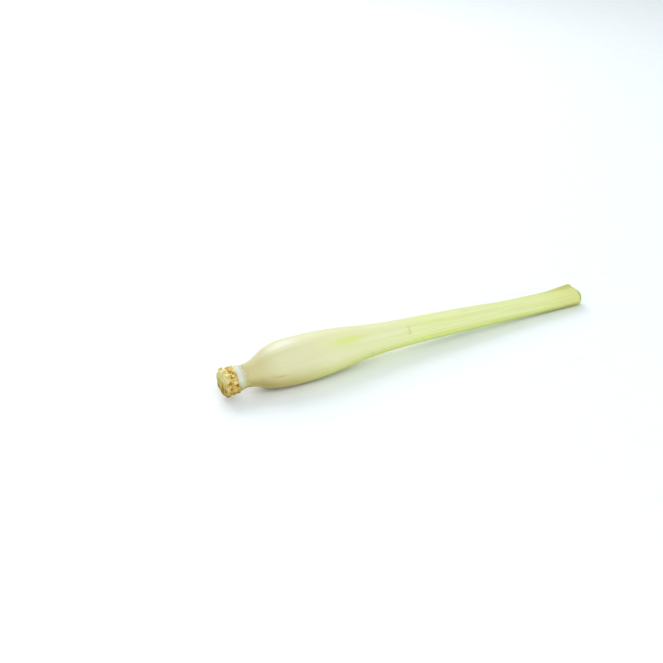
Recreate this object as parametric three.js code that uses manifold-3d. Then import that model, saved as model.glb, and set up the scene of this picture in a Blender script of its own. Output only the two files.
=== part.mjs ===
// A trimmed stalk of lemongrass, lying on a level surface.
//
// The stalk is a pale bulb that runs on as a thin shaft. Both are leaf sheaths, each wrapped round
// the next, with a rolled young leaf at the heart. They stand on a short woody rootstock, whose
// roots are cut to stubs, and a ring of an older sheath is left round its neck. The leaf end is cut
// straight through all the layers.
//
// Millimetres, +Z up. The origin is on the flat spot under the bulb that the stalk rests on, and +X
// runs along the stalk from the rootstock to the leaf end. "Along" is the distance from the cut
// face of the rootstock, and a section is drawn by the angle from +Y towards +Z.

import * as THREE from 'three';
import Module from 'manifold-3d';
import { mergeVertices } from 'three/addons/utils/BufferGeometryUtils.js';

const wasm = await Module();
wasm.setup();

// ---------------------------------------------------------------- driving dimensions

const LENGTH = 242; // cut face of the rootstock to the last of the leaf end
const REST_ALONG = 47; // where the bulb is thickest and touches the surface
const NECK = 11; // where the sheaths start, on top of the rootstock
const GAP = 0.3; // clear between two layers
const THIN = 0.6; // thickness of a sheath at its free edges

// Radius of the stalk over its sheaths: neck, bulb, taper, shaft, leaf end.
const PROFILE = [
  [NECK, 5.4], [14, 6.1], [18, 7.0], [21, 8.3], [25, 10.2], [30, 11.6], [37, 12.5], [47, 12.7],
  [56, 12.5], [65, 11.8], [74, 10.8], [84, 9.4], [104, 7.8], [120, 7.3], [144, 6.95], [165, 6.55],
  [188, 6.0], [220, 5.95], [LENGTH, 6.1],
];

// Height of the centre line over the surface: the neck droops, and the shaft runs down to the tip.
const HEIGHT = [
  [0, 9.7], [11, 10.6], [17, 11.0], [24, 11.5], [34, 12.2], [47, 12.05], [70, 12.3], [87, 12.2],
  [122, 10.9], [152, 9.3], [182, 7.5], [LENGTH, 5.0],
];

// Wall of a sheath away from its free edges: fleshy in the bulb, thin at both ends.
const WALL = [
  [NECK, 0.7], [22, 0.95], [32, 1.6], [47, 2.1], [62, 1.8], [74, 1.45], [86, 1.05], [104, 0.72],
  [130, 0.68], [LENGTH, 0.7],
];

const OVERLAP_PITCH = 0.9; // a turn of a sheath lies this far inside the turn over it
const PARTED_PITCH = 0.2; // the same where its two margins have parted

const COLLAR = { end: 12.4, wall: 0.65, columns: 28 };
const CROWN = { radius: 7.0, end: 7.9, skew: 1.5, spigot: 5.5, spigotEnd: 10.5, columns: 30 };
const RINGS = { swell: 0.4, apart: 3.2 }; // the swollen rings round the rootstock, one at each node
const CORE = { radius: 2.2, tip: 1.5, end: 20.6 };
const ROOTS = { whorls: [1.6, 4.8], each: 6, radius: [0.75, 1.15], stand: [0.4, 1.1] };

const CUT_SLOPE = -0.3; // the leaf end is cut a little short on its upper side

// ---------------------------------------------------------------- small geometry

const degrees = THREE.MathUtils.degToRad;
const ease = (t) => THREE.MathUtils.smoothstep(t, 0, 1);

// A smooth curve through [distance, value] knots.
function through(knots) {
  const slopes = knots.map((knot, i) => {
    const before = knots[Math.max(i - 1, 0)];
    const after = knots[Math.min(i + 1, knots.length - 1)];
    return (after[1] - before[1]) / (after[0] - before[0]);
  });
  return (distance) => {
    const at = THREE.MathUtils.clamp(distance, knots[0][0], knots.at(-1)[0]);
    const i = Math.max(knots.findIndex((knot) => knot[0] >= at) - 1, 0);
    const span = knots[i + 1][0] - knots[i][0];
    const t = (at - knots[i][0]) / span;
    const fromEnds = knots[i][1] * (1 + 2 * t) * (1 - t) ** 2 + knots[i + 1][1] * t * t * (3 - 2 * t);
    return fromEnds + span * t * (1 - t) * (slopes[i] * (1 - t) - slopes[i + 1] * t);
  };
}

const stalkRadius = through(PROFILE);
const centreHeight = through(HEIGHT);
const sheathWall = through(WALL);

// A point of the stalk, by distance along, angle in the section and radius.
function place(along, angle, radius) {
  const y = radius * Math.cos(angle);
  const z = centreHeight(along) + radius * Math.sin(angle);
  return new THREE.Vector3(along - REST_ALONG, y, z);
}

// Distances along for the rows of every sheath: close at the neck and bulb, wide on the shaft. All
// the sheaths share them, so that their faces lie parallel.
function rowsFrom(base, end) {
  const rows = [];
  for (let along = NECK; along < end - 3; along += 2.6 + 9.2 * ease((along - NECK) / 85)) {
    if (along >= base - 0.01) rows.push(along);
  }
  return rows;
}

// A wall between two grids of points, closed along all its free edges. In a ring the last column
// meets the first.
function wallGeometry(skin, lining, ring) {
  const rows = skin.length;
  const columns = skin[0].length;
  const at = (side, i, j) => side * rows * columns + i * columns + (j % columns);
  const index = [];
  const quad = (a, b, c, d) => index.push(a, b, c, a, c, d);
  const across = ring ? columns : columns - 1;
  for (let j = 0; j < across; j++) {
    for (let i = 0; i < rows - 1; i++) {
      quad(at(0, i, j), at(0, i, j + 1), at(0, i + 1, j + 1), at(0, i + 1, j));
      quad(at(1, i, j), at(1, i + 1, j), at(1, i + 1, j + 1), at(1, i, j + 1));
    }
    const last = rows - 1;
    quad(at(0, 0, j), at(1, 0, j), at(1, 0, j + 1), at(0, 0, j + 1));
    quad(at(0, last, j), at(0, last, j + 1), at(1, last, j + 1), at(1, last, j));
  }
  for (let i = 0; i < rows - 1 && !ring; i++) {
    const edge = columns - 1;
    quad(at(0, i, 0), at(0, i + 1, 0), at(1, i + 1, 0), at(1, i, 0));
    quad(at(0, i, edge), at(1, i, edge), at(1, i + 1, edge), at(0, i + 1, edge));
  }
  const geometry = new THREE.BufferGeometry().setFromPoints([...skin.flat(), ...lining.flat()]);
  geometry.setIndex(index);
  geometry.computeVertexNormals();
  return geometry;
}

function mesh(name, geometry, colour, roughness) {
  const material = new THREE.MeshStandardMaterial({ color: colour, roughness, metalness: 0 });
  const piece = new THREE.Mesh(geometry, material);
  piece.name = name;
  return piece;
}

// ---------------------------------------------------------------- leaf sheaths

// How far one turn of a sheath steps inwards: by its own thin edge and a gap where it overlaps.
const pitchOf = (turns) => THREE.MathUtils.lerp(PARTED_PITCH, OVERLAP_PITCH, ease((turns - 0.8) / 0.2));

// One leaf sheath is a wall rolled round the stalk. It is seen from its covered margin, at share 0,
// to its outer margin, at share 1. Both margins are thin, and so is the flap that overlaps.
// `radius` is the radius of the outer margin at a distance along.
function leafSheath({ base, end, margin, turns, radius, columns, wall = sheathWall, lift }) {
  const rows = [...rowsFrom(base, end), end];
  const skin = [];
  const lining = [];
  for (const row of rows) {
    const turned = turns(row);
    const pitch = pitchOf(turned);
    const flap = Math.max(turned - 1, 0);
    const skinRow = [];
    const liningRow = [];
    for (let j = 0; j <= columns; j++) {
      const share = j / columns;
      const fromOuter = (1 - share) * turned;
      const angle = degrees(margin(row)) - fromOuter * 2 * Math.PI;
      const swell = ease((fromOuter - flap) / 0.15) * ease((share * turned) / 0.15);
      const thickness = THREE.MathUtils.lerp(THIN, Math.max(wall(row), THIN), swell);
      const raised = lift ? lift(row, share) : 0;
      const outer = radius(row) - pitch * fromOuter + raised;
      const along = row < end ? row : end + CUT_SLOPE * outer * Math.sin(angle);
      skinRow.push(place(along, angle, outer));
      liningRow.push(place(along, angle, outer - thickness));
    }
    skin.push(skinRow);
    lining.push(liningRow);
  }
  return wallGeometry(skin, lining, false);
}

// The innermost radius that a sheath reaches, which the next one in stays clear of.
function floorUnder({ turns, radius, wall = sheathWall }) {
  return (along) => {
    const turned = turns(along);
    return radius(along) - pitchOf(turned) * turned - Math.max(wall(along), THIN) - GAP;
  };
}

// The outer sheath overlaps itself round the bulb. Up the shaft its covered margin draws back, under
// the stalk and up the far side, until it covers only the front, and there that margin lifts.
const outer = {
  base: NECK,
  end: 237,
  margin: (along) => 236 + 3 * Math.sin(along / 15),
  turns: through([[NECK, 1.12], [64, 1.12], [102, 1.02], [152, 0.78], [197, 0.55], [LENGTH, 0.48]]),
  radius: (along) => stalkRadius(along) + pitchOf(outer.turns(along)) / 2,
  columns: 36,
  lift: (along, share) => 1.7 * ease((along - 212) / 27) * ease(1 - share / 0.22),
};

const middle = {
  base: 16,
  end: 239,
  margin: (along) => 92 - 4 * Math.sin(along / 22),
  turns: through([[NECK, 1.1], [112, 1.1], [172, 0.86], [LENGTH, 0.68]]),
  radius: floorUnder(outer),
  columns: 24,
};

const inner = {
  base: 21,
  end: 240,
  margin: () => 290,
  turns: through([[NECK, 1.08], [120, 1.08], [172, 0.94], [LENGTH, 0.8]]),
  radius: floorUnder(middle),
  columns: 18,
};

const heart = {
  base: 21,
  end: 240.6,
  margin: () => 118,
  turns: () => 1.2,
  radius: floorUnder(inner),
  wall: () => THIN,
  columns: 12,
};

// The bulb is flattened where it lies on the surface.
function flattenUnder(geometry) {
  const position = geometry.getAttribute('position');
  for (let i = 0; i < position.count; i++) position.setZ(i, Math.max(position.getZ(i), 0));
  return geometry;
}

// ---------------------------------------------------------------- rootstock

// A closed mesh as a solid that can be joined to others.
function solidOf(geometry) {
  const bare = geometry.clone();
  bare.deleteAttribute('normal');
  bare.deleteAttribute('uv');
  const merged = mergeVertices(bare, 1e-4);
  const vertProperties = new Float32Array(merged.attributes.position.array);
  const triVerts = new Uint32Array(merged.index.array);
  return new wasm.Manifold(new wasm.Mesh({ numProp: 3, vertProperties, triVerts }));
}

function geometryOf(solid) {
  const { vertProperties, triVerts } = solid.getMesh();
  const geometry = new THREE.BufferGeometry();
  geometry.setAttribute('position', new THREE.BufferAttribute(vertProperties, 3));
  geometry.setIndex(new THREE.BufferAttribute(triVerts, 1));
  geometry.computeVertexNormals();
  return geometry;
}

// A seeded draw between 0 and 1, the same on every run.
function seededDraw(seed) {
  let state = seed;
  return () => {
    state = (state * 16807) % 2147483647;
    return state / 2147483647;
  };
}

// The rootstock was peeled askew, so that less of it is bare on its upper near side.
const crownEnd = (angle) => CROWN.end - CROWN.skew * Math.cos(angle - degrees(140));

// It has a swollen ring at each node, and is a little lobed round its section.
function crownRadius(along, angle) {
  const ring = RINGS.swell * Math.sin((Math.PI * along) / RINGS.apart) ** 2;
  const lobes = 0.26 * Math.sin(2 * angle + 0.6) + 0.22 * Math.sin(3 * angle + 2.2);
  const knobs = 0.14 * Math.sin(7 * angle + 1.7 * along);
  return CROWN.radius + ring + lobes + knobs;
}

// The body runs from the cut face, which bulges a little, to a spigot that the sheaths stand on and
// a core that they close round.
function crownBody() {
  const rings = [[0.05, 1.6], [0.2, 4.2]].map(([along, radius]) => () => [along, radius]);
  rings.push((angle) => [0.35, crownRadius(0.4, angle) - 0.7]);
  const steps = 6;
  for (let i = 0; i <= steps; i++) {
    rings.push((angle) => {
      const along = THREE.MathUtils.lerp(1, crownEnd(angle), i / steps);
      return [along, crownRadius(along, angle)];
    });
  }
  rings.push((angle) => [crownEnd(angle), CROWN.spigot]);
  rings.push(() => [CROWN.spigotEnd, CROWN.spigot - 0.3]);
  rings.push(() => [CROWN.spigotEnd + 0.2, CORE.radius]);
  rings.push(() => [CORE.end, CORE.tip]);
  const columns = CROWN.columns;
  const points = [place(0, 0, 0), place(CORE.end, 0, 0)];
  const index = [];
  rings.forEach((ring, i) => {
    for (let j = 0; j < columns; j++) {
      const angle = (j / columns) * 2 * Math.PI;
      const [along, radius] = ring(angle);
      points.push(place(along, angle, radius));
      const here = 2 + i * columns;
      const next = (j + 1) % columns;
      const above = here + columns;
      if (i === 0) index.push(0, here + next, here + j);
      if (i === rings.length - 1) index.push(1, here + j, here + next);
      else index.push(here + j, here + next, above + next, here + j, above + next, above + j);
    }
  });
  const geometry = new THREE.BufferGeometry().setFromPoints(points);
  geometry.setIndex(index);
  return geometry;
}

// A cut root: a short peg with a worn rim, sunk well into the rootstock and leaning to the cut face.
function rootStub(along, angle, radius, stand) {
  const sunk = 1.8;
  const rim = 0.25;
  const outline = [
    [0, -sunk], [radius * 1.1, 0], [radius, stand - rim], [radius - rim, stand], [0, stand - 0.15],
  ].map(([x, y]) => new THREE.Vector2(x, y));
  const geometry = new THREE.LatheGeometry(outline, 7);
  const outwards = place(along, angle, 1).sub(place(along, angle, 0));
  outwards.x -= 0.25;
  const turn = new THREE.Quaternion().setFromUnitVectors(new THREE.Vector3(0, 1, 0), outwards.normalize());
  geometry.applyQuaternion(turn);
  const foot = place(along, angle, crownRadius(along, angle));
  geometry.translate(foot.x, foot.y, foot.z);
  return geometry;
}

function rootCrown() {
  const draw = seededDraw(20);
  const between = ([low, high]) => low + (high - low) * draw();
  let crown = solidOf(crownBody());
  ROOTS.whorls.forEach((whorl, i) => {
    for (let j = 0; j < ROOTS.each; j++) {
      const angle = degrees((360 * (j + 0.4 * i)) / ROOTS.each + 26 * (draw() - 0.5));
      const along = whorl + 0.9 * (draw() - 0.5);
      const stub = rootStub(along, angle, between(ROOTS.radius), between(ROOTS.stand));
      crown = crown.add(solidOf(stub));
    }
  });
  return geometryOf(crown);
}

// How far in the outer sheath has stepped at an angle. A ring stretched over it bridges the step at
// the margin.
function stepUnder(along, angle) {
  const past = (outer.margin(along) / 360 - angle / (2 * Math.PI) + 1) % 1;
  return pitchOf(outer.turns(along)) * past * ease((1 - past) / 0.08);
}

// What is left of an older sheath: a low ring that hugs the neck, torn along its upper edge.
function collarGeometry() {
  const rows = 4;
  const skin = [];
  const lining = [];
  for (let i = 0; i <= rows; i++) {
    const skinRow = [];
    const liningRow = [];
    for (let j = 0; j < COLLAR.columns; j++) {
      const angle = (j / COLLAR.columns) * 2 * Math.PI;
      const torn = 0.9 * Math.sin(2 * angle + 1) + 0.5 * Math.sin(5 * angle + 2);
      const along = THREE.MathUtils.lerp(crownEnd(angle) + GAP, COLLAR.end + torn, i / rows);
      const spigot = along < CROWN.spigotEnd + GAP ? CROWN.spigot : 0;
      const clear = Math.max(outer.radius(along) - stepUnder(along, angle), spigot) + GAP;
      skinRow.push(place(along, angle, clear + COLLAR.wall));
      liningRow.push(place(along, angle, clear));
    }
    skin.push(skinRow);
    lining.push(liningRow);
  }
  return wallGeometry(skin, lining, true);
}

// ---------------------------------------------------------------- the stalk

const stalk = new THREE.Group();
stalk.add(
  mesh('root_crown', rootCrown(), '#d9b46a', 0.85),
  mesh('sheath_stub', collarGeometry(), '#dfe3d6', 0.6),
  mesh('sheath_outer', flattenUnder(leafSheath(outer)), '#e3e5b4', 0.45),
  mesh('sheath_middle', leafSheath(middle), '#d3e08a', 0.45),
  mesh('sheath_inner', leafSheath(inner), '#c0d873', 0.45),
  mesh('heart_roll', leafSheath(heart), '#b4d25c', 0.45),
);

export default stalk;
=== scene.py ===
import math
import random

import bmesh
import bpy
import numpy as np
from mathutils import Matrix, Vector, noise


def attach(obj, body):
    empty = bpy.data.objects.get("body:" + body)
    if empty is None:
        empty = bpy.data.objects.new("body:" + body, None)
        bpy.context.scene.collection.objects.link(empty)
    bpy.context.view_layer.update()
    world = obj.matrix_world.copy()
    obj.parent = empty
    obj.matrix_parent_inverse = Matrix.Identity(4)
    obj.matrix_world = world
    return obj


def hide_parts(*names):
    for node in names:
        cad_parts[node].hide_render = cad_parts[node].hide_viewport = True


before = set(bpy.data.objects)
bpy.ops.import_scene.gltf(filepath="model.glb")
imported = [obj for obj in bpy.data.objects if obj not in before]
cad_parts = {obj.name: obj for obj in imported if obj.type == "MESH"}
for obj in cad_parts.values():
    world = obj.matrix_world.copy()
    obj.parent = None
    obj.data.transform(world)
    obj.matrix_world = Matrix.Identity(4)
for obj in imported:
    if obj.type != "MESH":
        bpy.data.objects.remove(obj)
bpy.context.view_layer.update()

# ---------------------------------------------------------------- rootstock
# The rootstock is a short stub of woody grass stem, grown in one piece. It is knife-cut across its
# end, swollen in a ring at each node, and set with the cut stumps and pitted scars of its roots.
# Straw-coloured and dry outside, pale and moist on the cut, with brown where roots have died back.

MM = 0.001
REST_ALONG = 47.0  # mm from the cut face of the rootstock to the spot that the bulb rests on

# The height of the stalk's centre line over the table, as (mm along, mm).
HEIGHT = [(0, 9.7), (11, 10.6), (17, 11.0), (24, 11.5), (34, 12.2), (47, 12.05), (70, 12.3),
          (87, 12.2), (122, 10.9), (152, 9.3), (182, 7.5), (242, 5.0)]


def smooth_curve(knots):
    """A smooth curve through (distance, value) knots, for one distance or an array of them."""
    at, value = np.array(knots, float).T
    slope = np.empty_like(value)
    slope[1:-1] = (value[2:] - value[:-2]) / (at[2:] - at[:-2])
    slope[0] = (value[1] - value[0]) / (at[1] - at[0])
    slope[-1] = (value[-1] - value[-2]) / (at[-1] - at[-2])

    def curve(distance):
        d = np.clip(distance, at[0], at[-1])
        i = np.clip(np.searchsorted(at, d, side="left") - 1, 0, len(at) - 2)
        span = at[i + 1] - at[i]
        t = (d - at[i]) / span
        ends = value[i] * (1 + 2 * t) * (1 - t) ** 2 + value[i + 1] * t * t * (3 - 2 * t)
        return ends + span * t * (1 - t) * (slope[i] * (1 - t) - slope[i + 1] * t)

    return curve


centre_height = smooth_curve(HEIGHT)


def stalk_points(along, angle, radius):
    """Places in metres of points given by mm along the stalk, angle from +Y to +Z, and mm out."""
    x = along - REST_ALONG + 0 * angle
    return np.stack([x, radius * np.cos(angle), centre_height(along) + radius * np.sin(angle)], -1) * MM


def ease(t):
    """Rises from 0 to 1 as t does, with a soft start and end."""
    t = np.clip(t, 0, 1)
    return t * t * (3 - 2 * t)


# Sizes in mm, along from the cut face and out from the centre line.
CROWN_RADIUS = 7.0
NODE_SWELL = 0.4  # how far the stub swells at a node
NODE_APART = 3.2
CUT_BEVEL = 0.5  # the worn edge round the cut face
SPIGOT_RADIUS = 5.4  # the core that the leaf sheaths close round
SPIGOT_END = 10.4
CROWN_RINGS = 20  # rings of points along the bare part of the blank, up to its shoulder
SPIGOT_RINGS = 7
WHORLS = (1.6, 4.8)  # where each ring of roots grows
STUMPS_EACH = 6
STUMP_SUNK = 1.2  # how much of a root stump is buried in the stub
CROWN_VOXEL = 0.15


def crown_end(angle):
    """Where the bare part ends: it is peeled askew, and shortest on its upper near side."""
    return 7.9 - 1.5 * np.cos(angle - math.radians(140))


def crown_radius(along, angle):
    """The stub's radius, with a swelling at each node and low lobes round it."""
    ring = NODE_SWELL * math.sin(math.pi * along / NODE_APART) ** 2
    lobes = 0.26 * math.sin(2 * angle + 0.6) + 0.22 * math.sin(3 * angle + 2.2)
    return CROWN_RADIUS + ring + lobes + 0.14 * math.sin(7 * angle + 1.7 * along)


def finished(name, bm):
    """Turns what a bmesh has shaped into a mesh."""
    mesh = bpy.data.meshes.new(name)
    bm.to_mesh(mesh)
    bm.free()
    return mesh


def add_stump(bm, draw, along, angle):
    """Sinks the stump of one root in the side of the stub, and gives the middle of its cut tip."""
    width, stand = draw.uniform(0.75, 1.15), draw.uniform(0.1, 0.8)
    foot = Vector(stalk_points(np.float64(along), angle, crown_radius(along, angle) - STUMP_SUNK))
    outwards = Vector((-0.25, math.cos(angle), math.sin(angle))).normalized()
    turn = Vector((0, 0, 1)).rotation_difference(outwards).to_matrix().to_4x4()
    stump = bmesh.ops.create_cone(
        bm, cap_ends=True, segments=12, radius1=width * 1.15 * MM, radius2=width * 0.9 * MM,
        depth=(stand + STUMP_SUNK) * MM)
    bmesh.ops.transform(bm, matrix=turn, verts=stump["verts"])
    bmesh.ops.translate(bm, vec=foot + outwards * (stand + STUMP_SUNK) * MM / 2, verts=stump["verts"])
    return foot + outwards * (stand + STUMP_SUNK) * MM


def crown_blank():
    """The stub with its spigot and root stumps as rough shapes run together, and the stumps' tips."""
    draw = random.Random(20)
    bm = bmesh.new()
    bmesh.ops.create_cone(bm, cap_ends=True, segments=64, radius1=1, radius2=1, depth=1)
    sides = [e for e in bm.edges if abs(e.verts[0].co.z - e.verts[1].co.z) > 0.5]
    bmesh.ops.subdivide_edges(bm, edges=sides, cuts=CROWN_RINGS + SPIGOT_RINGS - 1, use_grid_fill=False)
    for vert in bm.verts:
        ring = round((vert.co.z + 0.5) * (CROWN_RINGS + SPIGOT_RINGS))
        angle = math.atan2(vert.co.y, vert.co.x)
        shoulder = crown_end(angle)
        if ring <= CROWN_RINGS:
            along = shoulder * ring / CROWN_RINGS
            radius = crown_radius(along, angle)
        else:
            along = shoulder + (SPIGOT_END - shoulder) * (ring - CROWN_RINGS - 1) / (SPIGOT_RINGS - 1)
            radius = SPIGOT_RADIUS
        radius -= CUT_BEVEL * max(0.0, 1 - along / CUT_BEVEL)
        vert.co = Vector(stalk_points(np.float64(along), angle, radius))
    tips = []
    for i, whorl in enumerate(WHORLS):
        for j in range(STUMPS_EACH):
            angle = math.radians(360 * (j + 0.4 * i) / STUMPS_EACH + draw.uniform(-13, 13))
            along = whorl + draw.uniform(-0.45, 0.45)
            tips.append(add_stump(bm, draw, along, angle))
    return finished("rootstock", bm), tips


def link(name, mesh):
    """Puts a mesh in the scene as a piece."""
    piece = bpy.data.objects.new(name, mesh)
    bpy.context.scene.collection.objects.link(piece)
    return piece


def settle(piece):
    """Applies the modifiers of a piece to its mesh."""
    bpy.context.view_layer.update()
    shaped = bpy.data.meshes.new_from_object(piece.evaluated_get(bpy.context.evaluated_depsgraph_get()))
    piece.modifiers.clear()
    piece.data = shaped
    shaped.name = piece.name
    return piece


blank, stump_tips = crown_blank()
rootstock = link("rootstock", blank)
remesh = rootstock.modifiers.new("grown together", "REMESH")
remesh.mode = "VOXEL"
remesh.voxel_size = CROWN_VOXEL * MM
settle(rootstock)

# Where roots ran through to the cut face, and where they broke off the side: (mm along, y, z from the
# centre line, size, depth), all in mm. Then the rings that torn sheaths have left round the stub.
SCARS = [
    (0.3, -0.5, -3.2, 1.5, 0.32), (0.4, 0.6, -0.9, 1.3, 0.12), (0.3, -4.3, -2.5, 1.2, 0.35),
    (0.4, 4.4, -3.6, 0.8, 0.25), (2.2, -6.9, 2.2, 1.3, 0.5), (2.4, -7.2, -1.2, 1.1, 0.5),
    (5.5, -7.1, 0.2, 1.1, 0.5), (4.6, -5.6, -4.6, 1.2, 0.4), (4.9, -3.6, 6.2, 1.0, 0.4),
]
RING_SCARS = (3.1, 6.0)
SMALL_SCARS = 12


def scar_places():
    """The named scars and a scatter of small ones, as (place in metres, size, depth)."""
    draw = random.Random(7)
    places = [(Vector(((a - REST_ALONG) * MM, y * MM, (centre_height(a) + z) * MM)), size, depth)
              for a, y, z, size, depth in SCARS]
    for _ in range(SMALL_SCARS):
        along, angle = draw.uniform(1, 7), draw.uniform(0, 2 * math.pi)
        place = Vector(stalk_points(np.float64(along), angle, crown_radius(along, angle)))
        places.append((place, draw.uniform(0.4, 0.8), draw.uniform(0.15, 0.35)))
    return places


# How far apart the stub's fibres and splinters are, in mm along it and across it.
FIBRE_GRAIN = (4.167, 1.0526, 1.0526)
SPLINTER_GRAIN = (2.381, 0.4348, 0.4348)


def rough(places, spacing):
    """Noise between about -1 and 1 at each place, with a bump every so many mm."""
    return np.array([noise.noise(Vector(place)) for place in places / (np.array(spacing) * MM)])


def carve_crown(piece, tips):
    """Gives the stub its fibres, ring scars and root scars, and its cut face a raised rim.

    The relief is in mm, out from the surface. It fades out under the collar, at the stub's shoulder.
    """
    mesh = piece.data
    spots = np.empty(len(mesh.vertices) * 3)
    mesh.vertices.foreach_get("co", spots)
    spots = spots.reshape(-1, 3)
    outs = np.array([vert.normal[:] for vert in mesh.vertices])
    along = spots[:, 0] / MM + REST_ALONG
    y, z = spots[:, 1] / MM, spots[:, 2] / MM - centre_height(along)
    on_face = ease((1.1 - along) / 0.9) * ease((-outs[:, 0] - 0.2) / 0.5)
    from_axis = np.hypot(y, z) / CROWN_RADIUS
    near_side = ease(0.5 - 0.9 * y / CROWN_RADIUS)

    fibres = 0.5 - 3 * np.abs(rough(spots, FIBRE_GRAIN))
    splinters = 0.5 - 3 * np.abs(rough(spots, SPLINTER_GRAIN))
    move = 0.24 * rough(spots, 3.846) + 0.08 * rough(spots, 0.6667)
    move += (1 - on_face) * (0.12 * fibres + 0.07 * splinters)
    rim = np.exp(-((from_axis - 0.72) / 0.12) ** 2)
    knife_marks = 0.04 * np.sin(6 * (y + 0.6 * z))
    move += on_face * (0.3 * rim * near_side - 0.2 * np.exp(-(from_axis / 0.5) ** 4) + knife_marks)
    stain = 0.35 * (1 - on_face) * ease(-fibres)
    wavy = along + 0.5 * rough(spots, 5.882)
    for ring in RING_SCARS:
        groove = (1 - on_face) * np.exp(-((wavy - ring) / 0.24) ** 2)
        move += 0.12 * (1 - on_face) * np.exp(-((wavy - ring - 0.6) / 0.3) ** 2) - 0.26 * groove
        stain = np.maximum(stain, 0.65 * groove * (0.6 + rough(spots, 3.03)))
    ragged = 1 + 0.6 * rough(spots, 1.786) + 0.4 * rough(spots, 0.8333)
    for place, size, depth in scar_places():
        gap = np.linalg.norm(spots - np.array(place), axis=1) / MM / size * ragged
        move += 0.4 * depth * np.exp(-((gap - 1.25) / 0.3) ** 2) - depth * np.exp(-gap ** 4)
        stain = np.maximum(stain, (0.25 + depth * 1.3) * np.exp(-(gap / 0.85) ** 4))
    for tip in tips:
        gap = np.linalg.norm(spots - np.array(tip), axis=1) / MM * ragged
        move -= 0.1 * np.exp(-(gap / 0.4) ** 2)
        stain = np.maximum(stain, 0.55 * np.exp(-((gap - 1.1) / 0.22) ** 2))
        on_face = np.maximum(on_face, 0.8 * np.exp(-(gap / 0.8) ** 4))
    move *= ease((crown_end(np.arctan2(z, y)) - along) / 0.5)
    mesh.vertices.foreach_set("co", (spots + outs * move[:, None] * MM).ravel())
    for name, values in (("stain", stain), ("cut_face", on_face), ("blush", rim * near_side * on_face)):
        mesh.attributes.new(name, "FLOAT", "POINT").data.foreach_set("value", values)
    mesh.shade_smooth()


carve_crown(rootstock, stump_tips)


def linear(hex_colour):
    """An sRGB hex colour as a linear RGBA tuple."""
    parts = [int(hex_colour[i:i + 2], 16) / 255 for i in (1, 3, 5)]
    return tuple(c / 12.92 if c < 0.04045 else ((c + 0.055) / 1.055) ** 2.4 for c in parts) + (1.0,)


def add(tree, kind, inputs=None, stops=None, **settings):
    """Adds a shader node. Inputs are set or linked by name or number; stops fill a colour ramp.

    By number, a Map Range takes a value as 0, the range that it runs over as 1 and 2, and the range
    that it gives as 3 and 4, and a Mix takes its factor as 0 and its two colours as 6 and 7.
    """
    made = tree.nodes.new(kind)
    for name, value in settings.items():
        setattr(made, name, value)
    for key, value in (inputs or {}).items():
        if isinstance(value, bpy.types.NodeSocket):
            tree.links.new(value, made.inputs[key])
        else:
            made.inputs[key].default_value = value
    if stops:
        ramp = made.color_ramp
        while len(ramp.elements) < len(stops):
            ramp.elements.new(0.5)
        for element, (position, colour) in zip(ramp.elements, stops):
            element.position = position
            element.color = linear(colour)
    return made


def every(spacing):
    """A pattern's scale, for one of its features every so many mm."""
    return 1 / (spacing * MM)


def tinted(tree, colour, factor, pattern, stops):
    """Tints a colour with what a pattern runs through, as a stain soaks into what lies under it; painted
    shade is laid on the same way.
    """
    stain = add(tree, "ShaderNodeValToRGB", {"Fac": pattern}, stops=stops).outputs[0]
    return add(tree, "ShaderNodeMix", {0: factor, 6: colour, 7: stain}, data_type="RGBA",
               blend_type="MULTIPLY").outputs[2]


def new_material(name):
    material = bpy.data.materials.new(name)
    material.use_nodes = True
    material.node_tree.nodes.clear()
    return material, material.node_tree


def finish_plant(tree, colour, height, roughness, bump_mm, subsurface, radius):
    """Plant tissue: a satin skin over flesh that light sinks into and comes out of tinted."""
    bump = add(tree, "ShaderNodeBump", {"Strength": 0.8, "Distance": bump_mm * MM, "Height": height})
    skin = add(tree, "ShaderNodeBsdfPrincipled", {
        "Base Color": colour, "Roughness": roughness, "IOR": 1.42, "Normal": bump.outputs[0],
        "Subsurface Weight": subsurface, "Subsurface Radius": radius, "Subsurface Scale": 1.5 * MM})
    add(tree, "ShaderNodeOutputMaterial", {"Surface": skin.outputs[0]})


def painted_low_shade(tree, place):
    """0 along the lowest of the root end, where painted shade and yellow-green bounce light darken it,
    rising to 1 on its top.
    """
    height = add(tree, "ShaderNodeSeparateXYZ", {0: place}).outputs["Z"]
    return add(tree, "ShaderNodeMapRange", {0: height, 1: 3 * MM, 2: 16 * MM}).outputs[0]


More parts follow.
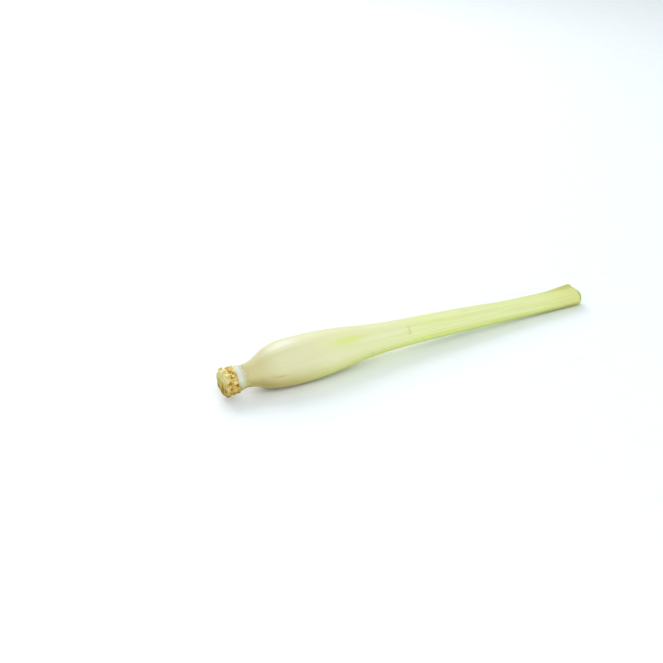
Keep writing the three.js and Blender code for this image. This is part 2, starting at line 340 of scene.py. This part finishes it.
def rootstock_material():
    """Dry grass rootstock: straw-brown rind with a fibrous grain, and a pale moist cut face."""
    material, tree = new_material("dry grass rootstock")
    place = add(tree, "ShaderNodeTexCoord").outputs["Object"]
    stain = add(tree, "ShaderNodeAttribute", attribute_name="stain").outputs["Fac"]
    face = add(tree, "ShaderNodeAttribute", attribute_name="cut_face").outputs["Fac"]
    blush = add(tree, "ShaderNodeAttribute", attribute_name="blush").outputs["Fac"]

    # The same patches run through the dry rind and the moist flesh, which is dotted by its strands.
    patches = add(tree, "ShaderNodeTexNoise", {"Vector": place, "Scale": every(2.63), "Detail": 5})
    patches = patches.outputs["Fac"]
    rind = add(tree, "ShaderNodeValToRGB", {"Fac": patches},
               stops=[(0.32, "#ccad62"), (0.43, "#e5d58c"), (0.53, "#f0eaae"), (0.66, "#f6f2d6")])
    flesh = add(tree, "ShaderNodeValToRGB", {"Fac": patches},
                stops=[(0.32, "#d6c26c"), (0.44, "#e4dc8e"), (0.6, "#eeecae"), (0.75, "#f8f4d0")])
    strands = add(tree, "ShaderNodeTexVoronoi", {"Vector": place, "Scale": every(0.667)})
    flesh = tinted(tree, flesh.outputs[0], 0.5, strands.outputs["Distance"],
                   [(0.1, "#ccb57a"), (0.42, "#ffffff")])
    flesh = add(tree, "ShaderNodeMix", {0: blush, 6: flesh, 7: linear("#efd5b8")},
                data_type="RGBA").outputs[2]
    colour = add(tree, "ShaderNodeMix", {0: face, 6: rind.outputs[0], 7: flesh}, data_type="RGBA")
    colour = colour.outputs[2]

    # Fibres show most on the rind. Dead roots and torn rings are brown, and the low side is darker and
    # yellower with painted shade and bounce light.
    grain = add(tree, "ShaderNodeMapping", {
        "Vector": place, "Scale": (every(3.85), every(0.4545), every(0.4545))}).outputs[0]
    fibres = add(tree, "ShaderNodeTexNoise", {"Vector": grain, "Scale": 1, "Detail": 4}).outputs["Fac"]
    bare = add(tree, "ShaderNodeMapRange", {0: face, 3: 0.5, 4: 0.12}).outputs[0]
    colour = tinted(tree, colour, bare, fibres, [(0.38, "#cdaa5e"), (0.56, "#ffffff")])
    colour = tinted(tree, colour, 0.95, stain, [(0.0, "#ffffff"), (0.4, "#e2be6a"), (1.0, "#9c6d2c")])
    colour = tinted(tree, colour, 1.0, painted_low_shade(tree, place),
                    [(0.0, "#b8a556"), (0.5, "#e0d6a4"), (1.0, "#fcfffa")])
    finish_plant(tree, colour, height=fibres, roughness=0.65, bump_mm=0.15,
                 subsurface=0.1, radius=(1.0, 0.8, 0.5))
    return material


rootstock.data.materials.append(rootstock_material())
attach(rootstock, "root")
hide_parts("root_crown")

# ---------------------------------------------------------------- leaf sheaths
# The stalk itself is the leaves' sheaths, each a tough curved blade rolled round the ones inside it.
# They are fleshy and white in the bulb, thin and green up the shaft, ribbed lengthwise by their
# veins, and membrane-thin along both margins. From the heart out: a rolled young leaf, then three.

# The stalk's radius and its sheaths' thickness, as (mm along, mm).
NECK = 11.0
PROFILE = [(NECK, SPIGOT_RADIUS), (14, 6.1), (18, 7.0), (21, 8.3), (25, 10.2), (30, 11.6), (37, 12.5),
           (47, 12.7), (56, 12.5), (65, 11.8), (74, 10.8), (84, 9.4), (104, 7.8), (120, 7.3),
           (144, 6.95), (165, 6.55), (188, 6.0), (220, 5.95), (242, 6.1)]
WALL = [(NECK, 0.7), (22, 0.95), (32, 1.6), (47, 2.1), (62, 1.8), (74, 1.45), (86, 1.05), (104, 0.72),
        (130, 0.68), (242, 0.7)]
LAYER_GAP = 0.3
THIN = 0.6  # thickness close to a margin, and of what laps over the other margin
SWELL_OVER = 0.15  # turns over which a wall swells from thin to full
MEMBRANE = 0.18  # thickness at the very edge of a margin
MEMBRANE_WIDE = 2.2
CUT_SLOPE = -0.3  # how far the knife leans: mm along for each mm up
CUT_DEPTH = 2.5  # mm of the end that the cut's slope and ragged edge reach back over
LIFT = 1.7  # how far the outer margin stands off at the leaf end
ROWS_CROWD = 1.15  # more than 1 sets a blank's rows closer together towards the bulb
RIBS = 34  # veins that stand up as ribs, round the stalk
RIB_HEIGHT = 0.05
VEINS = 120  # all the veins, most of them too fine to stand up
FLESHY_END = 55  # mm along to where the bulb is fleshy, and its veins are sunk
VEINY_FROM = 130  # and from where they show in full

stalk_radius = smooth_curve(PROFILE)
sheath_wall = smooth_curve(WALL)


def pitch_of(turns):
    """How many mm a sheath winds inwards in a turn: more once it laps over its own margin."""
    return 0.2 + 0.7 * ease((turns - 0.8) / 0.2)


class Sheath:
    """One leaf sheath: the mm along where it starts and is cut, the angle in degrees of its outer
    margin, how many turns it wraps at each (mm along), and which sheath is rolled over it."""

    def __init__(self, base, end, margin, turns, over=None, wall=sheath_wall, lift=None):
        self.base, self.end, self.margin, self.wall, self.lift = base, end, margin, wall, lift
        self.turns = smooth_curve(turns)
        self.over = over

    def radius(self, along):
        """The radius of its outer surface at its outer margin."""
        if self.over is None:
            return stalk_radius(along) + pitch_of(self.turns(along)) / 2
        turned = self.over.turns(along)
        wall = np.maximum(self.over.wall(along), THIN)
        return self.over.radius(along) - pitch_of(turned) * turned - wall - LAYER_GAP


OUTER = Sheath(NECK, 237, lambda along: 236 + 3 * np.sin(along / 15),
               [(NECK, 1.12), (64, 1.12), (102, 1.02), (152, 0.78), (197, 0.55), (242, 0.48)],
               lift=lambda along, share: LIFT * ease((along - 212) / 27) * ease(1 - share / 0.22))
MIDDLE = Sheath(16, 239, lambda along: 92 - 4 * np.sin(along / 22),
                [(NECK, 1.1), (112, 1.1), (172, 0.86), (242, 0.68)], over=OUTER)
INNER = Sheath(21, 240, lambda along: 290 + 0 * along,
               [(NECK, 1.08), (120, 1.08), (172, 0.94), (242, 0.8)], over=MIDDLE)
HEART = Sheath(21, 240.6, lambda along: 118 + 0 * along, [(NECK, 1.2), (242, 1.2)], over=INNER,
               wall=lambda along: THIN + 0 * along)


def rolled(sheath, share, run):
    """Rolls the points of a flat blank, given by their shares of its width and length.

    Gives their places in metres, mm along, angle, mm to the nearer margin, and thickness in mm.
    """
    along = sheath.base + (sheath.end - sheath.base) * run ** ROWS_CROWD
    turned = sheath.turns(along)
    from_outer = (1 - share) * turned
    frill = 1.0 * np.sin(along / 5.7) + 0.6 * np.sin(along / 2.3 + 1)
    angle = np.radians(sheath.margin(along) + frill * (2 * share - 1)) - from_outer * 2 * np.pi
    radius = sheath.radius(along) - pitch_of(turned) * from_outer
    if sheath.lift:
        radius = radius + sheath.lift(along, share)
    edge = np.minimum(share * turned, from_outer) * 2 * np.pi * radius
    ribs = np.sin(RIBS * angle + 0.6 * np.sin(along / 31))
    folds = 0.1 * np.sin(3 * angle + along / 37) + 0.06 * np.sin(5 * angle - along / 23 + 1)
    shaft = ease((along - FLESHY_END) / 60)
    radius = radius + (RIB_HEIGHT * (0.25 + 0.75 * shaft) * ribs + folds * shaft) * ease(edge / 2)
    nearly_cut = ease((along - sheath.end + CUT_DEPTH) / CUT_DEPTH)
    fray = 0.12 * np.sin(5 * angle + 1) + 0.04 * np.sin(13 * angle + 0.4 * radius)
    along = along + nearly_cut * (CUT_SLOPE * radius * np.sin(angle) + fray)
    places = stalk_points(along, angle, radius)
    places[:, 2] = np.maximum(places[:, 2], 0)  # its weight flattens it where it meets the table
    lap = np.maximum(turned - 1, 0)
    swell = ease((from_outer - lap) / SWELL_OVER) * ease(share * turned / SWELL_OVER)
    wall = THIN + (np.maximum(sheath.wall(along), THIN) - THIN) * swell
    wall = MEMBRANE + (wall - MEMBRANE) * ease(edge / MEMBRANE_WIDE)
    return places, along, angle, edge, wall


def thicken(piece, weights, thickest, rim_slot):
    """Gives a rolled blank its wall, inwards, as thick at each point as its weight there says."""
    wall = piece.modifiers.new("wall", "SOLIDIFY")
    wall.thickness = thickest * MM
    wall.offset = -1
    wall.vertex_group = weights.name
    wall.material_offset_rim = rim_slot
    settle(piece)
    piece.data.shade_smooth()
    piece.data.set_sharp_from_angle(angle=math.radians(50))


def roll_sheath(name, sheath, columns, rows):
    """Rolls a flat blank into a sheath, and thickens it inwards with thin margins."""
    bm = bmesh.new()
    bmesh.ops.create_grid(bm, x_segments=columns, y_segments=rows, size=0.5)
    mesh = finished(name, bm)
    flat = np.empty(len(mesh.vertices) * 3)
    mesh.vertices.foreach_get("co", flat)
    flat = flat.reshape(-1, 3)
    places, along, angle, edge, wall = rolled(sheath, flat[:, 0] + 0.5, flat[:, 1] + 0.5)
    mesh.vertices.foreach_set("co", places.ravel())
    for attribute, values in (("along", along), ("turn", angle / (2 * np.pi)), ("edge", edge)):
        mesh.attributes.new(attribute, "FLOAT", "POINT").data.foreach_set("value", values)
    piece = link(name, mesh)
    weights = piece.vertex_groups.new(name="wall")
    thickest = float(wall.max())
    for i, value in enumerate(wall):
        weights.add([i], float(value) / thickest, "REPLACE")
    thicken(piece, weights, thickest, rim_slot=1)
    return piece


def vein_pattern(tree, turn, along, per_turn, run_mm):
    """Streaks along the leaf: so many round a turn, each fading out over a length in mm."""
    round_it = add(tree, "ShaderNodeMath", {0: turn, 1: float(per_turn)}, operation="MULTIPLY").outputs[0]
    up_it = add(tree, "ShaderNodeMath", {0: along, 1: 1.0 / run_mm}, operation="MULTIPLY").outputs[0]
    coords = add(tree, "ShaderNodeCombineXYZ", {"X": round_it, "Y": up_it}).outputs[0]
    return add(tree, "ShaderNodeTexNoise", {"Vector": coords, "Scale": 1.0, "Detail": 2.0},
               noise_dimensions="2D").outputs["Fac"]


# Colour of a sheath along the stalk: (mm along, colour).
OUTER_COLOURS = [(11, "#c8bd8a"), (19, "#cfc89a"), (28, "#d8d5af"), (42, "#dcdbb8"), (75, "#e3e4bc"),
                 (100, "#e7eac2"), (125, "#e7edb9"), (165, "#e6eeba"), (205, "#e6eeb8"), (238, "#e0df9c")]
MIDDLE_COLOURS = [(14, "#e4e2c0"), (60, "#dfe6a8"), (110, "#d3e08a"), (170, "#c4da74"), (242, "#b4d060")]
INNER_COLOURS = [(14, "#e8e8c8"), (90, "#dbe6a0"), (170, "#c0dc78"), (242, "#a8cc50")]
HEART_COLOURS = [(14, "#ebebc8"), (110, "#d4e494"), (180, "#b4d866"), (242, "#98c840")]

# Marks on the outer sheath: (mm along, turn round, half-length in mm, half-width in turns, strength,
# colour).
OUTER_MARKS = [
    (13.5, 0.42, 2.0, 0.1, 0.35, "#dfb98c"),  # rubbed skin on the neck
    (28, 0.507, 5.5, 0.013, 0.5, "#bd9560"),  # a bruise low on the flank, in two streaks
    (24.5, 0.49, 3.0, 0.012, 0.35, "#c89e74"),
    (71, 0.385, 13.0, 0.05, 0.65, "#d0d66a"),  # a greener flush on the taper, with a soft edge
    (66, 0.375, 20.0, 0.06, 0.35, "#dde594"),
    (112, 0.415, 1.8, 0.07, 0.45, "#c9b668"),  # a crosswise scratch, with its skin yellowed either side
    (109.5, 0.43, 2.5, 0.035, 0.35, "#d6d482"),
    (115, 0.375, 2.5, 0.03, 0.35, "#dade86"),
    (86.5, 0.56, 1.2, 0.012, 0.6, "#c09a56"),  # two specks under the taper, and the dry skin by them
    (94, 0.55, 0.9, 0.012, 0.5, "#c09a56"),
    (62, 0.49, 14.0, 0.07, 0.25, "#ecdcc0"),
    (34, 0.28, 15.0, 0.05, 0.5, "#f0f1ea"),  # a painted highlight on the shoulder
    (153, 0.3, 4.0, 0.03, 0.25, "#cbb878"),  # a smudge up the shaft
]


def lay_mark(tree, colour, along, turn, waver, mark):
    """Lays one soft oval mark over a sheath, with its outline made uneven by a pattern."""
    mark_along, mark_turn, half_long, half_wide, strength, tint = mark
    up_it = add(tree, "ShaderNodeMapRange", {0: along, 1: mark_along, 2: mark_along + half_long},
                clamp=False)
    off_it = add(tree, "ShaderNodeMapRange", {0: turn, 1: mark_turn, 2: mark_turn + half_wide},
                 clamp=False)
    spot = add(tree, "ShaderNodeCombineXYZ", {"X": up_it.outputs[0], "Y": off_it.outputs[0], "Z": 0.0})
    reach = add(tree, "ShaderNodeVectorMath", {0: spot.outputs[0]}, operation="LENGTH").outputs["Value"]
    reach = add(tree, "ShaderNodeMath", {0: reach, 1: waver}, operation="ADD").outputs[0]
    cover = add(tree, "ShaderNodeMapRange", {0: reach, 1: 0.6, 2: 1.6, 3: strength, 4: 0.0},
                interpolation_type="SMOOTHSTEP").outputs[0]
    return add(tree, "ShaderNodeMix", {0: cover, 6: colour, 7: linear(tint)}, data_type="RGBA").outputs[2]


def sheath_material(name, colours, marks=()):
    """Fresh grass sheath: waxy satin skin, fine lengthwise veins, tint that drifts along the leaf."""
    material, tree = new_material(name)
    along = add(tree, "ShaderNodeAttribute", attribute_name="along").outputs["Fac"]
    turn = add(tree, "ShaderNodeAttribute", attribute_name="turn").outputs["Fac"]
    edge = add(tree, "ShaderNodeAttribute", attribute_name="edge").outputs["Fac"]
    place = add(tree, "ShaderNodeTexCoord").outputs["Object"]
    first, last = colours[0][0], colours[-1][0]
    share = add(tree, "ShaderNodeMapRange", {0: along, 1: first, 2: last}).outputs[0]
    stops = [((mm - first) / (last - first), hex_colour) for mm, hex_colour in colours]
    colour = add(tree, "ShaderNodeValToRGB", {"Fac": share}, stops=stops).outputs[0]

    # Veins at three widths, which show more up the shaft than on the fleshy bulb.
    broad = vein_pattern(tree, turn, along, per_turn=26, run_mm=90)
    streaky = add(tree, "ShaderNodeMapRange", {
        0: along, 1: FLESHY_END, 2: VEINY_FROM, 3: 0.05, 4: 0.3}).outputs[0]
    colour = tinted(tree, colour, streaky, broad, [(0.3, "#e2e394"), (0.6, "#ffffff")])
    fine = vein_pattern(tree, turn, along, per_turn=110, run_mm=60)
    veiny = add(tree, "ShaderNodeMapRange", {
        0: along, 1: FLESHY_END, 2: VEINY_FROM, 3: 0.18, 4: 0.36}).outputs[0]
    colour = tinted(tree, colour, veiny, fine, [(0.35, "#e4e4a2"), (0.62, "#ffffff")])
    veins = add(tree, "ShaderNodeMath", {0: turn, 1: 2 * math.pi * VEINS}, operation="MULTIPLY")
    veins = add(tree, "ShaderNodeMath", {0: broad, 1: 9.0, 2: veins.outputs[0]}, operation="MULTIPLY_ADD")
    veins = add(tree, "ShaderNodeMath", {0: veins.outputs[0]}, operation="SINE").outputs[0]
    showing = add(tree, "ShaderNodeMapRange", {0: fine, 1: 0.35, 2: 0.7, 3: 0.1, 4: 0.5}).outputs[0]
    colour = tinted(tree, colour, showing, veins, [(0.3, "#ffffff"), (0.95, "#dfe3ae")])

    # Faint clouds, painted shade and yellow bounce light on the underside, dry rims along both margins,
    # and then the marks.
    clouds = add(tree, "ShaderNodeTexNoise", {"Vector": place, "Scale": every(22.2), "Detail": 3})
    colour = tinted(tree, colour, 0.4, clouds.outputs["Fac"], [(0.35, "#fbf3e8"), (0.65, "#f5f9e2")])
    # Painted shade: the underside is darker and yellower, most of all towards the root end.
    round_it = add(tree, "ShaderNodeMath", {0: turn, 1: 2 * math.pi}, operation="MULTIPLY").outputs[0]
    upwards = add(tree, "ShaderNodeMath", {0: round_it}, operation="SINE").outputs[0]
    under = add(tree, "ShaderNodeMapRange", {0: upwards, 1: 0.3, 2: -0.75},
                interpolation_type="SMOOTHSTEP")
    colour = tinted(tree, colour, under.outputs[0], share,
                    [(0.05, "#d4c47c"), (0.13, "#e8dfa4"), (0.22, "#f8f8be"), (0.45, "#fcffca"),
                     (0.9, "#fbffd6")])
    rims = add(tree, "ShaderNodeValToRGB", {"Fac": share},
               stops=[(0.12, "#c3ae6c"), (0.3, "#cfda66"), (0.85, "#cbd267"), (0.97, "#aaa94e")])
    near = add(tree, "ShaderNodeMapRange", {0: edge, 1: 0.4, 2: 6.0, 3: 0.85, 4: 0.0},
               interpolation_type="SMOOTHSTEP").outputs[0]
    colour = add(tree, "ShaderNodeMix", {0: near, 6: colour, 7: rims.outputs[0]}, data_type="RGBA")
    colour = colour.outputs[2]
    for mark in marks:
        colour = lay_mark(tree, colour, along, turn, broad, mark)
    relief = add(tree, "ShaderNodeMath", {0: fine, 1: 3.0, 2: veins}, operation="MULTIPLY_ADD").outputs[0]
    finish_plant(tree, colour, height=relief, roughness=0.36, bump_mm=0.018,
                 subsurface=0.3, radius=(1.0, 0.9, 0.35))
    return material


def cut_tissue_material():
    """Freshly cut leaf: paler and wetter than the skin, dotted by the cut ends of its veins."""
    material, tree = new_material("cut leaf tissue")
    place = add(tree, "ShaderNodeTexCoord").outputs["Object"]
    dots = add(tree, "ShaderNodeTexVoronoi", {"Vector": place, "Scale": every(0.7143)})
    dots = dots.outputs["Distance"]
    colour = add(tree, "ShaderNodeValToRGB", {"Fac": dots}, stops=[(0.1, "#a8bf60"), (0.4, "#e0e9b4")])
    finish_plant(tree, colour.outputs[0], height=dots, roughness=0.35, bump_mm=0.05,
                 subsurface=0.3, radius=(1.0, 0.9, 0.35))
    return material


cut_tissue = cut_tissue_material()

heart = roll_sheath("heart_leaf", HEART, 60, 120)
heart.data.materials.append(sheath_material("young rolled leaf", HEART_COLOURS))
inner = roll_sheath("inner_sheath", INNER, 90, 120)
inner.data.materials.append(sheath_material("inner grass sheath", INNER_COLOURS))
middle = roll_sheath("middle_sheath", MIDDLE, 130, 130)
middle.data.materials.append(sheath_material("middle grass sheath", MIDDLE_COLOURS))
outer = roll_sheath("outer_sheath", OUTER, 190, 150)
outer.data.materials.append(sheath_material("outer grass sheath", OUTER_COLOURS, OUTER_MARKS))

for piece, node, slot in (
        (heart, "heart_roll", "heart"), (inner, "sheath_inner", "inner_sheath"),
        (middle, "sheath_middle", "middle_sheath"), (outer, "sheath_outer", "outer_sheath")):
    piece.data.materials.append(cut_tissue)
    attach(piece, "root")
    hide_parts(node)

# ---------------------------------------------------------------- collar
# A ring of an older sheath is left round the neck, torn off short when the stalk was peeled. It is
# white and soft, swollen where it grows out of the rootstock, and tight on the neck and paper-thin
# along its torn edge.

COLLAR_END = 12.4  # mm along to its torn edge, about which the edge runs up and down
COLLAR_WALL = 0.5  # thickness where it grows out of the rootstock
COLLAR_EDGE = 0.15  # thickness along the torn edge
COLLAR_SWELL = 0.6  # how much thicker it is part way along
COLLAR_CLEAR = 0.06  # how far it stands off the neck
SHOULDER_CLEAR = 0.15  # and off the shoulder of the rootstock


def roll_collar():
    """A band that hugs the spiral of the neck, and thins to its torn edge."""
    thickest = COLLAR_WALL + COLLAR_SWELL
    bm = bmesh.new()
    bmesh.ops.create_grid(bm, x_segments=200, y_segments=30, size=0.5)
    weights = bm.verts.layers.deform.verify()
    for vert in bm.verts:
        angle, run = (vert.co.x + 0.5) * 2 * math.pi, vert.co.y + 0.5
        torn = 0.9 * math.sin(2 * angle + 1) + 0.5 * math.sin(5 * angle + 2)
        torn += 0.22 * math.sin(13 * angle) + 0.12 * math.sin(29 * angle + 1)
        torn += 0.07 * math.sin(53 * angle)
        base = crown_end(angle) + SHOULDER_CLEAR
        along = base + (COLLAR_END + torn - base) * run
        # It lies on the spigot as far as that goes, and then on the neck, whose spiral steps up at
        # the outer sheath's margin.
        past = (OUTER.margin(along) / 360 - angle / (2 * math.pi)) % 1
        step_under = pitch_of(OUTER.turns(along)) * past * ease((1 - past) / 0.08)
        over_spigot = SPIGOT_RADIUS + 0.3 - 0.6 * ease(along - SPIGOT_END + 0.2)
        clear = float(max(OUTER.radius(along) - step_under, over_spigot)) + COLLAR_CLEAR
        swell = COLLAR_SWELL * float(ease(run / 0.25)) * float(ease((1 - run) / 0.7))
        wall = COLLAR_EDGE + (COLLAR_WALL - COLLAR_EDGE) * (1 - run) + swell
        vert.co = Vector(stalk_points(along, angle, clear + wall + 0.015 * math.sin(RIBS * angle)))
        vert[weights][0] = wall / thickest
    bmesh.ops.remove_doubles(bm, verts=bm.verts, dist=0.01 * MM)  # joins the band's two ends
    bmesh.ops.recalc_face_normals(bm, faces=bm.faces)
    piece = link("collar", finished("collar", bm))
    thicken(piece, piece.vertex_groups.new(name="wall"), thickest, rim_slot=0)
    return piece


def collar_material():
    """Torn sheath base: cool white and damp, turning to the colour of the neck along its free edge, with
    painted shade on its low side.
    """
    material, tree = new_material("torn white sheath")
    place = add(tree, "ShaderNodeTexCoord").outputs["Object"]
    up_it = add(tree, "ShaderNodeSeparateXYZ", {0: place}).outputs["X"]
    grain = add(tree, "ShaderNodeMapping", {
        "Vector": place, "Scale": (every(16.7), every(1.25), every(1.25))}).outputs[0]
    fibres = add(tree, "ShaderNodeTexNoise", {"Vector": grain, "Scale": 1, "Detail": 3}).outputs["Fac"]
    reach = add(tree, "ShaderNodeMath", {0: fibres, 1: 3 * MM, 2: up_it}, operation="MULTIPLY_ADD")
    share = add(tree, "ShaderNodeMapRange", {0: reach.outputs[0], 1: -39.5 * MM, 2: -33.5 * MM})
    colour = add(tree, "ShaderNodeValToRGB", {"Fac": share.outputs[0]},
                 stops=[(0.0, "#dadaca"), (0.2, "#dce1e0"), (0.5, "#d2d6c4"), (1.0, "#c6be8c")])
    colour = tinted(tree, colour.outputs[0], 0.6, fibres, [(0.35, "#eae4c6"), (0.55, "#ffffff")])
    # Painted shade and yellow-green bounce light: darker and yellower on the low side.
    colour = tinted(tree, colour, 1.0, painted_low_shade(tree, place),
                    [(0.0, "#cfc07c"), (0.45, "#eeeac6"), (0.9, "#ffffff")])
    finish_plant(tree, colour, height=fibres, roughness=0.45, bump_mm=0.05,
                 subsurface=0.3, radius=(1.0, 0.9, 0.6))
    return material


collar = roll_collar()
collar.data.materials.append(collar_material())
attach(collar, "root")
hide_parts("sheath_stub")

# ---------------------------------------------------------------- floor, camera and lights
# The stalk lies on a plain white table, under soft daylight from a window behind it and from above
# and in front, and is seen from the front and left. Sizes and places are in metres.

CAMERA_AZIMUTH = -30.77
CAMERA_ELEVATION = 25.8
CAMERA_DISTANCE = 0.6771
CAMERA_TARGET = Vector((0.03483, 0.0272, 0.008))
TABLE_HALF = 6.0
STALK_MIDDLE = Vector((0.06, 0, 0))

bm = bmesh.new()
bmesh.ops.create_grid(bm, x_segments=1, y_segments=1, size=TABLE_HALF)
floor = link("table", finished("table", bm))

# Satin laminate, with a mottle too faint to see that keeps it from being one flat white. Its
# pattern runs from 0 to 1 across the whole table.
floor_material, floor_tree = new_material("white laminate")
mottle = add(floor_tree, "ShaderNodeTexNoise", {"Scale": 2 * TABLE_HALF * every(13.333)})
shade = add(floor_tree, "ShaderNodeValToRGB", {"Fac": mottle.outputs["Fac"]},
            stops=[(0.0, "#e9eef0"), (1.0, "#f0f4f6")])
top = add(floor_tree, "ShaderNodeBsdfPrincipled", {"Base Color": shade.outputs[0], "Roughness": 0.55})
add(floor_tree, "ShaderNodeOutputMaterial", {"Surface": top.outputs[0]})
floor.data.materials.append(floor_material)

azimuth, elevation = math.radians(CAMERA_AZIMUTH), math.radians(CAMERA_ELEVATION)
back = Vector((math.sin(azimuth) * math.cos(elevation), -math.cos(azimuth) * math.cos(elevation),
               math.sin(elevation)))
camera_data = bpy.data.cameras.new("camera")
camera_data.lens = 65
camera_data.sensor_width = 36
camera_data.clip_start = 0.01
camera = bpy.data.objects.new("camera", camera_data)
camera.location = CAMERA_TARGET + back * CAMERA_DISTANCE
camera.rotation_euler = (-back).to_track_quat("-Z", "Y").to_euler()
bpy.context.scene.collection.objects.link(camera)
bpy.context.scene.camera = camera


def soft_light(name, place, size, power, colour):
    """A square soft light, with its size in metres and its power in watts, aimed at the stalk."""
    data = bpy.data.lights.new(name, "AREA")
    data.size = size
    data.energy = power
    data.color = linear(colour)[:3]
    lamp = bpy.data.objects.new(name, data)
    lamp.location = place
    lamp.rotation_euler = (STALK_MIDDLE - Vector(place)).to_track_quat("-Z", "Y").to_euler()
    bpy.context.scene.collection.objects.link(lamp)


soft_light("window", (0.15, 0.9, 0.75), size=0.9, power=7.5, colour="#fdfdfa")
soft_light("ceiling", (-0.15, -0.95, 0.85), size=1.2, power=8.9, colour="#fbfcff")

world = bpy.data.worlds.new("soft daylight")
world.use_nodes = True
world.node_tree.nodes.clear()
sky = add(world.node_tree, "ShaderNodeBackground", {"Color": linear("#eef4f8"), "Strength": 0.75})
add(world.node_tree, "ShaderNodeOutputWorld", {"Surface": sky.outputs[0]})
bpy.context.scene.world = world
bpy.context.scene.view_settings.view_transform = "Standard"
